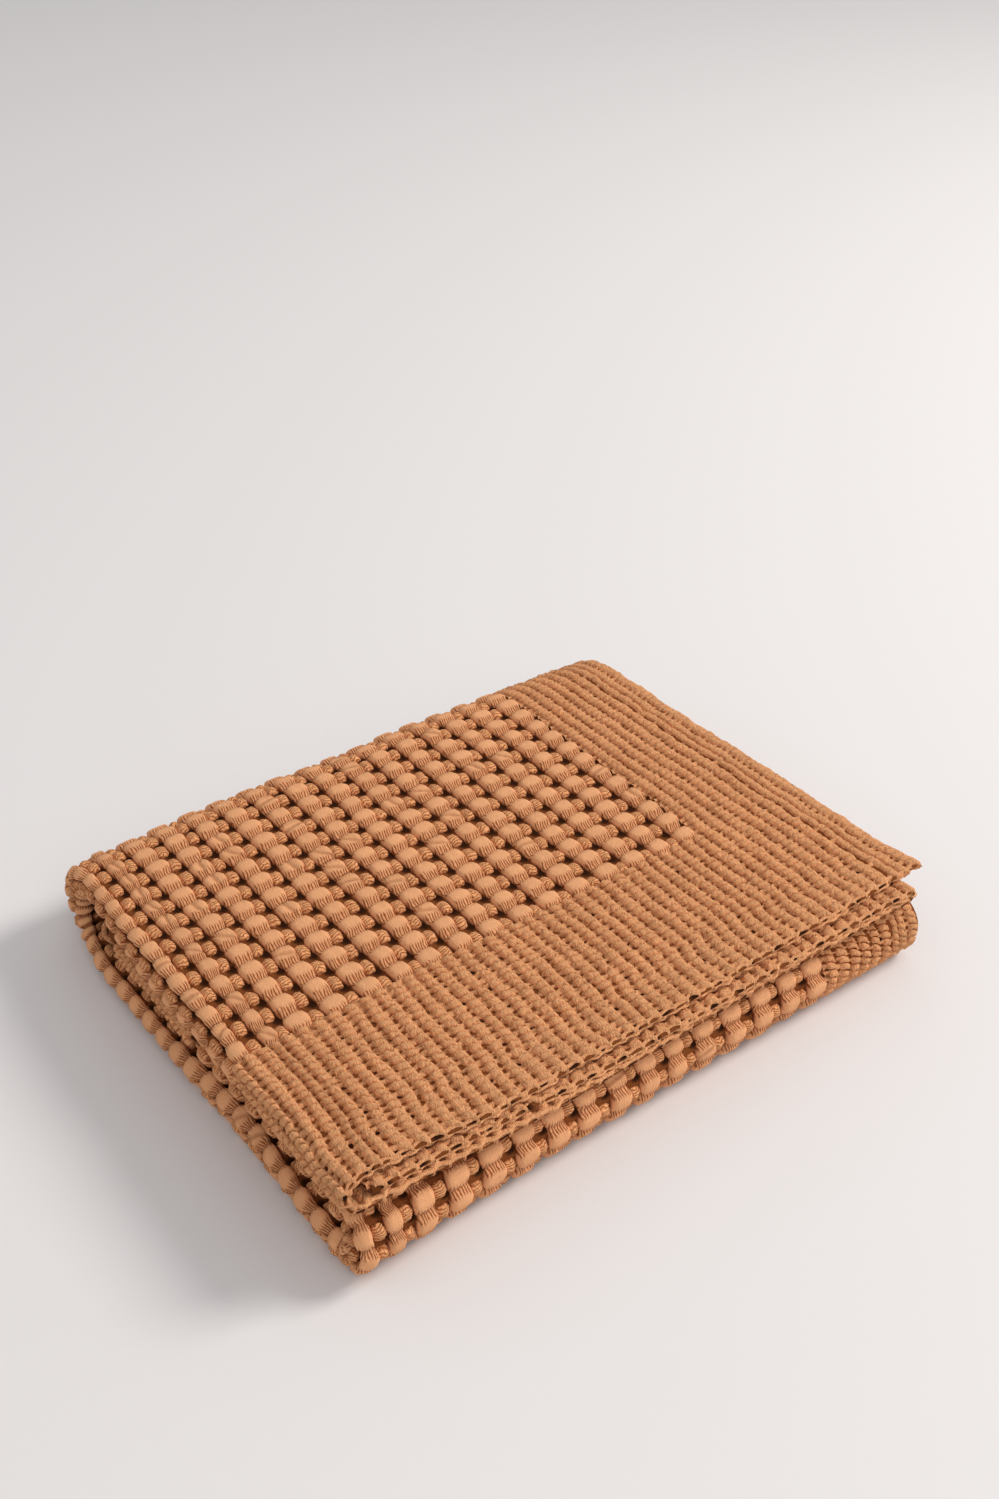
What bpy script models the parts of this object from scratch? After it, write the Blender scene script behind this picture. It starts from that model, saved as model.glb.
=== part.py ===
# Cotton blanket in a deep popcorn weave with ribbed borders, folded in three and in three again.
# One woven piece, hemmed on itself: nine layers that are one unbroken sheet.
# Metres, +Z up. The folded length runs along X, with the top layer's hem at +X.
# The free edges of the top layers show at -Y. The origin is under the middle of the stack.

from collections import namedtuple
import math

import bpy
import bmesh
from mathutils import Vector

# The cloth, 1.70 m long when laid out flat
CLOTH_WIDTH = 1.35
CLOTH_THICKNESS = 0.0082        # through the puffs of the weave
EDGE_ROUND = 0.0020             # how far the cut edges are rounded over
RIB_HEIGHT = 0.0014             # crest to groove in the ribbed border
HEM_WIDTH = 0.033               # turned hem along the border
RIB_PITCH = 0.0133
RIB_COUNT = 6

# The folded stack
LAYER_PITCH = 0.0108            # one layer and the gap over it
STRIP_PITCH = 3 * LAYER_PITCH   # the three layers that the second fold takes together
TOP_STRIP_Z = 2.5 * STRIP_PITCH  # middle of the top three layers
HEM_X = 0.288                   # where the hem of the top layer lies
CURL_X = 0.272                  # middle of the curl between the lower two layers
END_GAP = 0.012                 # how far the hidden end stops short of the fold round it
FOLD_Y = -0.1385                # middle of the big fold low on the -Y side
LOOP_Y = 0.2574                 # middle of the outer loop on the +Y side
EDGE_Y = -0.152                 # free edge of the topmost layer
LOOP_STRETCH = 1.25             # the loop is longer than it is high

# Short tables. Distances are across the cloth's width, from the edge on top.
Place = namedtuple("Place", "across x")
FOLD_LINE = (                   # the fold at -X, further in where the lower layers reach -Y
    Place(across=0.00, x=-0.278),
    Place(across=0.30, x=-0.279),
    Place(across=0.45, x=-0.272),
    Place(across=0.56, x=-0.282),
    Place(across=0.66, x=-0.281),
    Place(across=0.78, x=-0.276),
    Place(across=0.90, x=-0.278),
    Place(across=1.00, x=-0.270),
    Place(across=1.20, x=-0.274),
)
HEM_LINE = (                    # how far the hem wanders from its line at +X
    Place(across=0.00, x=0.010),
    Place(across=0.05, x=0.005),
    Place(across=0.14, x=0.005),
    Place(across=0.26, x=0.001),
    Place(across=0.36, x=0.003),
    Place(across=0.42, x=0.001),
    Place(across=0.47, x=-0.006),
    Place(across=0.60, x=-0.004),
    Place(across=0.92, x=0.000),
)
CURL_LINE = (                   # how far the curl at +X wanders
    Place(across=0.00, x=0.000),
    Place(across=0.20, x=-0.004),
    Place(across=0.45, x=-0.006),
    Place(across=0.90, x=-0.009),
)

Relief = namedtuple("Relief", "across share")
RIB_RELIEF = (                  # the ribs are pressed flat where the lowest layer lies
    Relief(across=0.42, share=1.0),
    Relief(across=0.50, share=0.0),
    Relief(across=0.90, share=0.0),
    Relief(across=0.95, share=1.0),
)

Edge = namedtuple("Edge", "along out")
EDGE_LINE = (                   # how far the -Y edge stands out, along the cloth's length
    Edge(along=0.00, out=-0.003),
    Edge(along=0.10, out=0.002),
    Edge(along=0.30, out=0.006),
    Edge(along=0.46, out=0.008),
    Edge(along=0.56, out=0.001),
    Edge(along=0.61, out=0.012),
    Edge(along=0.75, out=0.017),
    Edge(along=1.05, out=0.012),
    Edge(along=1.20, out=0.011),
    Edge(along=1.45, out=0.015),
    Edge(along=1.70, out=0.010),
)

BIG_FOLD_LINE = (               # how far the big fold bulges towards -Y by the -X side
    Edge(along=0.42, out=0.000),
    Edge(along=0.58, out=0.007),
    Edge(along=0.74, out=0.000),
    Edge(along=1.54, out=0.000),
    Edge(along=1.70, out=0.007),
)

Sag = namedtuple("Sag", "x y reach drop")
SAGS = (                        # soft places where the stack is lower, by a share of its height
    Sag(x=0.32, y=0.34, reach=0.13, drop=0.05),
    Sag(x=-0.34, y=0.35, reach=0.16, drop=0.11),
    Sag(x=0.33, y=-0.10, reach=0.16, drop=0.03),
    Sag(x=-0.08, y=-0.20, reach=0.14, drop=0.02),
    Sag(x=0.10, y=0.05, reach=0.13, drop=0.015),
)

Run = namedtuple("Run", "name length radius steps")
SETTLING_ROUNDS = 5             # until the lines along and across agree on where they cross
COTTON_COLOUR = (0.50, 0.245, 0.115, 1.0)


def clear_scene():
    for item in list(bpy.data.objects):
        bpy.data.objects.remove(item, do_unlink=True)


def read_table(rows, distance):
    """Smooth value between the rows of a table, by their first and second columns."""
    if distance <= rows[0][0]:
        return rows[0][1]
    for low, high in zip(rows, rows[1:]):
        if distance <= high[0]:
            share = (distance - low[0]) / (high[0] - low[0])
            share = share * share * (3 - 2 * share)
            return low[1] + (high[1] - low[1]) * share
    return rows[-1][1]


def half_turn(name, radius, steps):
    return Run(name, math.pi * radius, radius, steps)


def length_runs(across):
    """The cloth's length folded in three: out along the top, back below, then in between."""
    hem = HEM_X + read_table(HEM_LINE, across)
    curl = CURL_X + read_table(CURL_LINE, across)
    fold = read_table(FOLD_LINE, across)
    border = HEM_WIDTH + RIB_COUNT * RIB_PITCH
    return [
        Run("hem", HEM_WIDTH, 0, 2),
        Run("ribbed border", border - HEM_WIDTH, 0, 2 * RIB_COUNT),
        Run("top layer", hem - fold - border, 0, 8),
        half_turn("outer wrap", LAYER_PITCH, 8),
        Run("lower layer", curl - fold, 0, 6),
        half_turn("inner curl", LAYER_PITCH / 2, 6),
        Run("middle layer", curl - fold - END_GAP, 0, 6),
    ]


def width_runs(along):
    """The folded strip's width folded in three: over the top, round, back below, and in."""
    edge = EDGE_Y - read_table(EDGE_LINE, along)
    fold = FOLD_Y - read_table(BIG_FOLD_LINE, along)
    runs = [
        Run("top strip", LOOP_Y - edge, 0, 9),
        half_turn("outer loop", STRIP_PITCH, 10),
        Run("bottom strip", LOOP_Y - fold, 0, 6),
        half_turn("big fold", STRIP_PITCH / 2, 8),
    ]
    rest = CLOTH_WIDTH - sum(run.length for run in runs)
    return runs + [Run("middle strip", rest, 0, 5)]


def follow(runs, distance):
    """Reach, level and heading at a distance along straight runs and clockwise half turns."""
    reach, level, heading = 0.0, 0.0, 0.0
    for run in runs:
        step = min(distance, run.length)
        if run.radius:
            turned = heading - step / run.radius
            reach += run.radius * (math.sin(heading) - math.sin(turned))
            level += run.radius * (math.cos(turned) - math.cos(heading))
            heading = turned
        else:
            reach += step * math.cos(heading)
            level += step * math.sin(heading)
        distance -= step
        if distance <= 0:
            break
    return reach, level, heading


def rib_relief(along, across):
    """Height of the hem's ends and of the ribs beside it."""
    if along < HEM_WIDTH:
        wave = math.cos(2 * math.pi * along / HEM_WIDTH) * 0.5 - 0.5
    elif along < HEM_WIDTH + RIB_COUNT * RIB_PITCH:
        wave = -math.cos(2 * math.pi * (along - HEM_WIDTH) / RIB_PITCH)
    else:
        return 0.0
    return 0.5 * RIB_HEIGHT * wave * read_table(RIB_RELIEF, across)


def sagged(x, y, z):
    """Height after the soft places. The lowest layer stays flat on the surface."""
    share = 1.0
    for sag in SAGS:
        distance = math.hypot(x - sag.x, y - sag.y) / sag.reach
        share *= 1 - sag.drop * math.exp(-distance * distance)
    lowest = LAYER_PITCH / 2
    return lowest + (z - lowest) * share


def folded_point(along, across):
    """Where a point of the flat cloth lies in the stack, on the middle of its thickness."""
    reach, level, _ = follow(length_runs(across), along)
    x = HEM_X + read_table(HEM_LINE, across) - reach
    lift = LAYER_PITCH + level + rib_relief(along, across)
    reach, level, heading = follow(width_runs(along), across)
    y = EDGE_Y - read_table(EDGE_LINE, along) + reach - lift * math.sin(heading)
    z = TOP_STRIP_Z + level + lift * math.cos(heading)
    if y > LOOP_Y:
        y = LOOP_Y + (y - LOOP_Y) * LOOP_STRETCH
    return Vector((x, y, sagged(x, y, z)))


def stations(runs):
    """Distances of the grid lines: each run's own steps, evenly spaced."""
    marks = [0.0]
    for run in runs:
        start = marks[-1]
        marks += [start + run.length * (step + 1) / run.steps for step in range(run.steps)]
    return marks


def crossing(column, row):
    """Distances along and across the cloth where two grid lines cross."""
    across = 0.0
    for _ in range(SETTLING_ROUNDS):
        along = stations(length_runs(across))[column]
        across = stations(width_runs(along))[row]
    return along, across


def build_sheet(name):
    """A flat grid laid into the folds, each vertex by its place on the cloth."""
    columns = len(stations(length_runs(0.0))) - 1
    rows = len(stations(width_runs(0.0))) - 1
    mesh = bpy.data.meshes.new(name)
    grid = bmesh.new()
    bmesh.ops.create_grid(grid, x_segments=columns, y_segments=rows, size=0.5)
    for vertex in grid.verts:
        column = round((vertex.co.x + 0.5) * columns)
        row = round((vertex.co.y + 0.5) * rows)
        vertex.co = folded_point(*crossing(column, row))
    bmesh.ops.recalc_face_normals(grid, faces=grid.faces)
    rounded = grid.edges.layers.float.new("bevel_weight_edge")
    for edge in grid.edges:
        edge[rounded] = 1.0 if edge.is_boundary else 0.0
    grid.to_mesh(mesh)
    grid.free()
    return bpy.data.objects.new(name, mesh)


def thicken(sheet):
    """Gives the sheet its real thickness and rounds the edges all round it."""
    solidify = sheet.modifiers.new("Cloth thickness", "SOLIDIFY")
    solidify.thickness = CLOTH_THICKNESS
    solidify.offset = 0.0
    bevel = sheet.modifiers.new("Rounded edges", "BEVEL")
    bevel.width = EDGE_ROUND
    bevel.segments = 1
    bevel.limit_method = "WEIGHT"


def stand_on_origin(sheet):
    """Moves the cloth so that its box is centred over the origin and rests at z = 0."""
    graph = bpy.context.evaluated_depsgraph_get()
    solid = sheet.evaluated_get(graph)
    points = [vertex.co for vertex in solid.data.vertices]
    low = Vector([min(point[axis] for point in points) for axis in range(3)])
    high = Vector([max(point[axis] for point in points) for axis in range(3)])
    shift = Vector(((low.x + high.x) / 2, (low.y + high.y) / 2, low.z))
    for vertex in sheet.data.vertices:
        vertex.co -= shift


def cotton():
    material = bpy.data.materials.new("Terracotta cotton")
    material.use_nodes = True
    shader = material.node_tree.nodes["Principled BSDF"]
    shader.inputs["Base Color"].default_value = COTTON_COLOUR
    shader.inputs["Roughness"].default_value = 0.95
    shader.inputs["Metallic"].default_value = 0.0
    return material


def main():
    clear_scene()
    collection = bpy.data.collections.new("Folded cotton blanket")
    bpy.context.scene.collection.children.link(collection)
    sheet = build_sheet("blanket")
    collection.objects.link(sheet)
    sheet.data.materials.append(cotton())
    thicken(sheet)
    stand_on_origin(sheet)
    for face in sheet.data.polygons:
        face.use_smooth = True


main()
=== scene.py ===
import math

import bmesh
import bpy
import numpy as np
from mathutils import Matrix, Vector


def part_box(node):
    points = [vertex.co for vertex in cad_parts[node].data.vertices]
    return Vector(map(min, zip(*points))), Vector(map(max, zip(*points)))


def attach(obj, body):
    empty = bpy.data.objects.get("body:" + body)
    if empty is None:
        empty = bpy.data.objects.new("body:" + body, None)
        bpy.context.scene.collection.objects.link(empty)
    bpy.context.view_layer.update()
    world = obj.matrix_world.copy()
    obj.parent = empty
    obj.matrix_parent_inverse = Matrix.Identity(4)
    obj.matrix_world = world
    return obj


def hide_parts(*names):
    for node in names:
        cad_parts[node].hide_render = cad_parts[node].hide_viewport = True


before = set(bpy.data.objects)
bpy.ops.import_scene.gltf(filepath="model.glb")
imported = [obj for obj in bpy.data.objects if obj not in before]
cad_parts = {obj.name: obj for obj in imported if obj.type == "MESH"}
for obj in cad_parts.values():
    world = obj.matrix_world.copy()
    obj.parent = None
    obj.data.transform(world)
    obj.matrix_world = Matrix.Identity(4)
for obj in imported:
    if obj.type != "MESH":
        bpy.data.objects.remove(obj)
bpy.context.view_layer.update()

# Folded cotton blanket in a deep popcorn weave with ribbed borders.
# Every piece is made flat, at its place on the laid-out cloth, and then laid into the folds:
# X runs along the cloth from the hem on top, Y across it from the free edge, Z out of its face.

# How the cloth is folded
stack = {
    "layerPitch": 0.0108,      # one layer and the gap over it
    "solidThickness": 0.0082,  # of one layer of the solid
    "topStrip": 7.5,           # middle of the strip of three layers on top, in layers
    "hemX": 0.288,             # the hem of the top layer
    "curlX": 0.272,            # the curl between the lower two layers
    "endGap": 0.012,           # how far the hidden end stops short of the fold
    "foldY": -0.1385,          # the big fold low on the -Y side
    "loopY": 0.2574,           # the outer loop on the +Y side
    "edgeY": -0.152,           # the free edge of the topmost layer
    "loopStretch": 1.25,       # the loop is longer than it is high
    "loopSlack": 1.105,        # and its weave is pulled together a little
    "clothWidth": 1.35,
    "clothLength": 1.70,
    "outerWidth": 1.20,        # as far across the cloth as it shows from outside
}
foldLine = {0.00: -0.278, 0.30: -0.279, 0.45: -0.272, 0.56: -0.282, 0.66: -0.281,
            0.78: -0.276, 0.90: -0.278, 1.00: -0.270, 1.20: -0.274}      # across: x of the fold
hemLine = {0.00: 0.010, 0.05: 0.005, 0.14: 0.005, 0.26: 0.001, 0.36: 0.003,
           0.42: 0.001, 0.47: -0.006, 0.60: -0.004, 0.92: 0.000}         # across: wander of the hem
curlLine = {0.00: 0.000, 0.20: -0.004, 0.45: -0.006, 0.90: -0.009}       # across: wander of the curl
edgeLine = {0.00: -0.003, 0.10: 0.002, 0.30: 0.006, 0.46: 0.008, 0.56: 0.001, 0.61: 0.012,
            0.75: 0.017, 1.05: 0.012, 1.20: 0.011, 1.45: 0.015, 1.70: 0.010}   # along: edge's reach
bigFoldLine = {0.42: 0.000, 0.58: 0.007, 0.74: 0.000, 1.54: 0.000, 1.70: 0.007}
sags = [                       # soft places, lower by a share of the stack's height
    {"x": 0.32, "y": 0.34, "reach": 0.13, "drop": 0.05},
    {"x": -0.34, "y": 0.35, "reach": 0.16, "drop": 0.11},
    {"x": 0.33, "y": -0.10, "reach": 0.16, "drop": 0.03},
    {"x": -0.08, "y": -0.20, "reach": 0.14, "drop": 0.02},
    {"x": 0.10, "y": 0.05, "reach": 0.13, "drop": 0.015},
]


def readTable(table, distance):
    places = np.array(list(table))
    values = np.array(list(table.values()))
    low = np.clip(np.searchsorted(places, distance, side="right") - 1, 0, len(places) - 2)
    share = np.clip((distance - places[low]) / (places[low + 1] - places[low]), 0, 1)
    return values[low] + (values[low + 1] - values[low]) * share * share * (3 - 2 * share)


# A run is (length, radius, oval): straight where the radius is 0, or else a half turn
def lengthRuns(across):
    hem = stack["hemX"] + readTable(hemLine, across)
    curl = stack["curlX"] + readTable(curlLine, across)
    outer = readTable(foldLine, across)
    wrap = stack["layerPitch"]
    return [
        (hem - outer, 0, 1),
        (math.pi * wrap, wrap, 1),
        (curl - outer, 0, 1),
        (math.pi * wrap / 2, wrap / 2, 1),
        (curl - outer - stack["endGap"], 0, 1),
    ]


def widthRuns(along):
    edge = stack["edgeY"] - readTable(edgeLine, along)
    fold = stack["foldY"] - readTable(bigFoldLine, along)
    loop = 3 * stack["layerPitch"]
    oval = math.sqrt((1 + stack["loopStretch"] ** 2) / 2) * stack["loopSlack"]
    return [
        (stack["loopY"] - edge, 0, 1),
        (math.pi * loop, loop, oval),
        (stack["loopY"] - fold, 0, 1),
        (math.pi * loop / 2, loop / 2, 1),
        (stack["clothWidth"], 0, 1),
    ]


# Where a distance along the cloth's middle leads, and a height over it
def follow(runs, distance, height):
    reach = np.zeros_like(distance)
    level = np.zeros_like(distance)
    heading = np.zeros_like(distance)
    rest = distance
    for number, (length, radius, _) in enumerate(runs):
        step = rest if number == len(runs) - 1 else np.minimum(rest, length)
        if radius:
            turned = heading - step / radius
            reach = reach + radius * (np.sin(heading) - np.sin(turned))
            level = level + radius * (np.cos(turned) - np.cos(heading))
            heading = turned
        else:
            reach = reach + step * np.cos(heading)
            level = level + step * np.sin(heading)
        rest = rest - step
    return reach - height * np.sin(heading), level + height * np.cos(heading)


# Distance along the cloth's middle for one measured on the outer face, where turns are longer
def unwind(runs, distance, outer):
    rest, total = distance, np.zeros_like(distance)
    for number, (length, radius, oval) in enumerate(runs):
        growth = (radius + outer) / radius * oval if radius else 1
        step = rest if number == len(runs) - 1 else np.minimum(rest, length * growth)
        total = total + step / growth
        rest = rest - step
    return total


def foldedPoints(along, across, height):
    reach, level = follow(lengthRuns(across), along, height)
    x = stack["hemX"] + readTable(hemLine, across) - reach
    reach, level = follow(widthRuns(along), across, stack["layerPitch"] + level)
    y = stack["edgeY"] - readTable(edgeLine, along) + reach
    z = stack["topStrip"] * stack["layerPitch"] + level
    y = np.where(y > stack["loopY"], stack["loopY"] + (y - stack["loopY"]) * stack["loopStretch"], y)
    share = np.ones_like(z)
    for sag in sags:
        distance = np.hypot(x - sag["x"], y - sag["y"]) / sag["reach"]
        share = share * (1 - sag["drop"] * np.exp(-distance * distance))
    lowest = stack["layerPitch"] / 2
    z = np.where(z > lowest, lowest + (z - lowest) * share, z)
    return np.stack([x, y, z], axis=-1)


# The weave's layout
weave = {
    "columnPitch": 0.0300,     # from puff to puff along the cloth
    "rowPitch": 0.0234,        # from puff to puff across it
    "firstColumn": 0.1260,     # middle of the first column of puffs, from the hem
    "firstRow": 0.1521,        # middle of the first row, from the free edge
    "hemWidth": 0.0333,
    "ribPitch": 0.0133,
    "beadPitch": 0.0071,
    "borderLength": 0.1131,    # the border by the hem, with the hem
    "borderWidth": 0.1365,     # the border by the free edge
    "crest": 0.0041,           # the height at which the repeat has its true length
    "foldColumn": 15,          # the column of puffs on the fold at -X
    "foldPull": 0.0062,        # it and all beyond it stand this much closer to the hem
}


# The weave is drawn together where it goes round the fold at -X
def pulled(a):
    share = np.clip((a - weave["firstColumn"]) / weave["columnPitch"] - weave["foldColumn"] + 1.5, 0, 1)
    return a - weave["foldPull"] * share * share * (3 - 2 * share)


# Place on the cloth's middle for a place in the weave
def clothPlace(a, b):
    along, across = a, b
    for _ in range(4):
        hemShare = np.clip(a / weave["borderLength"], 0, 1)
        edgeShare = np.clip(b / weave["borderWidth"], 0, 1)
        along = unwind(lengthRuns(across), a + readTable(hemLine, across) * hemShare, weave["crest"])
        across = unwind(widthRuns(along), b + readTable(edgeLine, along) * edgeShare,
                        stack["layerPitch"] + weave["crest"])
    return along, across


# Place in the weave for a place on the cloth's middle
def weavePlace(along, across):
    a, b = along, across
    for _ in range(10):
        reachedAlong, reachedAcross = clothPlace(pulled(a), b)
        a, b = a + along - reachedAlong, b + across - reachedAcross
    return a, b


# The scene's own folds stand where the solid stands
def solidCorner():
    reach = np.linspace(0, 1, 400)
    a, b = np.meshgrid(reach * stack["clothLength"], reach * stack["outerWidth"])
    a, b = a.ravel(), b.ravel()
    half = stack["solidThickness"] / 2
    points = np.concatenate([foldedPoints(a, b, np.full_like(a, side * half)) for side in (-1, 1)])
    return points.min(axis=0), points.max(axis=0)


modelLow, modelHigh = solidCorner()
solidLow, solidHigh = (np.array(corner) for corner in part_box("blanket"))
shift = (modelLow + modelHigh - solidLow - solidHigh) / 2
shift[2] = modelLow[2] - solidLow[2]
print("lowest corner of the folds against the solid's, m:", np.round(modelLow - shift - solidLow, 4))
print("highest corner of the folds against the solid's, m:", np.round(modelHigh - shift - solidHigh, 4))


# Smooth wander of a handmade thing, by about the amount to either side, the same on each run
def wander(a, b, amount, reach, seed):
    total = np.zeros_like(a)
    for turn in range(5):
        angle = 2.4 * turn + seed
        phase = 1.7 * turn * seed + seed
        total = total + np.sin((a * math.cos(angle) + b * math.sin(angle)) * (6.0 + turn) / reach + phase)
    return total / 2.6 * amount


def meshPoints(mesh):
    points = np.empty(len(mesh.vertices) * 3)
    mesh.vertices.foreach_get("co", points)
    return points.reshape(-1, 3)


# How the laid cloth departs from its even layout: amount, reach and seed of each wander
uneven = {
    "swell": (0.0007, 0.25, 6),    # of its height
    "slip": (0.0010, 0.14, 1),     # of the weave along it
    "floorGap": 0.0004,
}
mapScale = 10                      # the flat place is kept in decimetres,
liftScale = 1000                   # and heights over the cloth's middle in millimetres


# Lays a flat piece into the folds, and keeps its flat place as a UV map and its height as an attribute
def layInFolds(piece, onCloth=False, bothFaces=False, leastLift=-0.1):
    mesh = piece.data
    a, b, height = meshPoints(mesh).T
    over = np.maximum(np.abs(height) if bothFaces else height, leastLift)
    lift = mesh.attributes.new("lift", "FLOAT", "POINT")
    lift.data.foreach_set("value", over * liftScale)
    corners = np.empty(len(mesh.loops), dtype=int)
    mesh.loops.foreach_get("vertex_index", corners)
    flat = np.stack(weavePlace(a, b) if onCloth else (a, b), axis=-1)
    flatMap = mesh.uv_layers.new(name="cloth")
    flatMap.data.foreach_set("uv", (flat[corners] * mapScale).ravel())
    height = height + wander(a, b, *uneven["swell"])
    along, across = (a, b) if onCloth else clothPlace(pulled(a) + wander(a, b, *uneven["slip"]), b)
    points = foldedPoints(along, across, height) - shift
    points[:, 2] = np.maximum(points[:, 2], uneven["floorGap"])
    mesh.vertices.foreach_set("co", points.ravel())
    # The cloth's length runs towards -X, so the flat layout has been mirrored
    mesh.flip_normals()
    mesh.update()


# Puts each point in its place and moves it by a little of its own, as yarns bulge and slip
def placeRuffled(mesh, a, b, height, reach, seed):
    points = np.stack([a, b, height], axis=-1)
    points = points + np.random.default_rng(seed).uniform(-1, 1, points.shape) * reach
    mesh.vertices.foreach_set("co", points.ravel())


def meshFrom(name, bm):
    mesh = bpy.data.meshes.new(name)
    bm.to_mesh(mesh)
    bm.free()
    return mesh


def newPiece(name, mesh, material):
    piece = bpy.data.objects.new(name, mesh)
    bpy.context.scene.collection.objects.link(piece)
    piece.data.materials.clear()
    piece.data.materials.append(material)
    piece.data.shade_smooth()
    return piece


# Camera, floor and light
view = {
    "place": (-0.6380, -0.8735, 0.9447),
    "pitch": 0.5984,           # down, radians
    "yaw": 0.9309,
    "pictureHeight": 1499,     # in pixels
    "focal": 1612.3,           # in the same pixels
    "sensor": 24.0,
}
room = {
    "floorSize": 12,
    "floorColour": (0.80, 0.775, 0.77, 1),
    "floorRoughness": 0.9,
    "key": {"place": (4.2, -1.7, 3.7), "size": 2.2, "power": 225.0, "colour": (1.0, 0.97, 0.93)},
    "fill": {"place": (-0.6, -2.6, 2.4), "size": 2.5, "power": 15.0, "colour": (1.0, 1.0, 1.0)},
    "lightsAimAt": (0, 0, 0.05),
    "worldColour": (0.94, 0.94, 0.95, 1),
    "worldStrength": 0.58,
}


def aimedAt(place, target):
    away = (Vector(place) - Vector(target)).normalized()
    return Matrix.Translation(place) @ away.to_track_quat("Z", "Y").to_matrix().to_4x4()


def makeCamera():
    camera = bpy.data.cameras.new("camera")
    camera.sensor_fit = "VERTICAL"
    camera.sensor_height = view["sensor"]
    camera.lens = view["focal"] / view["pictureHeight"] * view["sensor"]
    piece = bpy.data.objects.new("camera", camera)
    pitch, yaw = view["pitch"], view["yaw"]
    ahead = Vector((math.cos(pitch) * math.cos(yaw), math.cos(pitch) * math.sin(yaw), -math.sin(pitch)))
    piece.rotation_euler = ahead.to_track_quat("-Z", "Y").to_euler()
    piece.location = view["place"]
    bpy.context.scene.collection.objects.link(piece)
    bpy.context.scene.camera = piece


def makeLight(name, lamp):
    light = bpy.data.lights.new(name, "AREA")
    light.shape = "DISK"
    light.size = lamp["size"]
    light.energy = lamp["power"]
    light.color = lamp["colour"]
    piece = bpy.data.objects.new(name, light)
    piece.matrix_world = aimedAt(lamp["place"], room["lightsAimAt"])
    bpy.context.scene.collection.objects.link(piece)


def makeRoom():
    bm = bmesh.new()
    bmesh.ops.create_grid(bm, x_segments=2, y_segments=2, size=room["floorSize"])
    material = bpy.data.materials.new("paleFloor")
    material.use_nodes = True
    shader = material.node_tree.nodes["Principled BSDF"]
    shader.inputs["Base Color"].default_value = room["floorColour"]
    shader.inputs["Roughness"].default_value = room["floorRoughness"]
    floor = newPiece("floor", meshFrom("floor", bm), material)
    makeLight("keyLight", room["key"])
    makeLight("fillLight", room["fill"])
    world = bpy.data.worlds.new("studio")
    world.use_nodes = True
    background = world.node_tree.nodes["Background"]
    background.inputs["Color"].default_value = room["worldColour"]
    background.inputs["Strength"].default_value = room["worldStrength"]
    bpy.context.scene.world = world
    bpy.context.scene.view_settings.view_transform = "Standard"


makeCamera()
makeRoom()
print("camera, floor and light are in place")

# Cotton: the widths of yarns and strands, how open and wavy the strands are, how crumpled the surface
# is, and the heights between which the painted shade lifts, as the colour rises from its lowest share to
# the full one
cottonLook = {
    "puff": {
        "colour": (0.85, 0.414, 0.200), "yarn": 0.0009, "strand": 0.0024, "gap": 1.15, "bend": 1.8,
        "sharpness": 0.9, "crumple": 1.3, "low": -0.0036, "high": 0.0010, "lowest": 0.40, "fringe": True,
    },
    "knot": {
        "colour": (0.93, 0.445, 0.200), "yarn": 0.0008, "strand": 0.0022, "gap": 1.0, "bend": 2.8,
        "sharpness": 0.8, "crumple": 2.5, "low": -0.0036, "high": 0.0010, "lowest": 0.42, "turned": True,
    },
    "rib": {
        "colour": (0.97, 0.472, 0.218), "yarn": 0.0006, "strand": 0.0015, "gap": 0.40, "bend": 2.5,
        "sharpness": 0.8, "crumple": 4.2, "low": -0.0010, "high": 0.0027, "lowest": 0.46,
    },
    # The ground's face is coloured dark as painted shade, for it lies deep under the puffs; its back is the
    # same cotton, lit
    "ground": {
        "colour": (0.210, 0.066, 0.018), "yarn": 0.0012, "strand": 0.0025, "gap": 0.4, "bend": 1.0,
        "sharpness": 0.8, "crumple": 1.0, "low": -0.1, "high": -0.09, "lowest": 0.0, "pitShades": True,
    },
    "back": {
        "colour": (0.60, 0.270, 0.115), "yarn": 0.0012, "strand": 0.0035, "gap": 0.6, "bend": 1.5,
        "sharpness": 0.7, "crumple": 2.0, "low": -0.1, "high": -0.09, "lowest": 0.0,
    },
    "deep": (0.300, 0.060, 0.009, 1),  # painted shade between strands and low between the puffs
    "pitShade": (0.030, 0.008, 0.002, 1),  # painted shade of the dark pits beside the knots, where the cloth is closed
    "pitShadePlace": (0.37, 0.56),         # in columns and rows from a puff
    "pitShadeReach": (0.18, 0.21),
    "pitShadeEdge": 1.6,                   # where a pit's painted shade has faded out, in reaches squared
    "roughness": 0.95,
    "shine": 0.10,
    "contrast": 0.28,
    "yarnBend": 2.5,
    "yarnTone": 0.25,                  # against the blotches and the fuzz
    "toneMiddle": 1.15,                # of these three together
    "yarnRelief": 0.30,                # against the strands' relief
    "fringeFuzz": 0.9,
    "creaseRelief": 1.6,
    # painted shade in the troughs of the creases
    "creaseShade": -0.34,
    # painted shade in the deep crumples
    "crumpleShade": 0.5,
    "crumpleShadeLevel": 1.16,              # over 1, so that painted shade falls only in the deep crumples
    "relief": 0.0008,
}
noiseLook = {                          # scale and detail
    "bend": (16, 2),
    "fuzz": (110, 3),
    "crumple": (46, 2),
    "blotch": (3.5, 4),
}
farFromCrease = 9.0


def nodeLink(tree, source, output, target, socket):
    tree.links.new(source.outputs[output], target.inputs[socket])


# Value of a math node on sockets or plain numbers
def mathNode(tree, operation, first, second=None, third=None):
    node = tree.nodes.new("ShaderNodeMath")
    node.operation = operation
    for number, value in enumerate((first, second, third)):
        if isinstance(value, bpy.types.NodeSocket):
            tree.links.new(value, node.inputs[number])
        elif value is not None:
            node.inputs[number].default_value = value
    return node.outputs["Value"]
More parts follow.
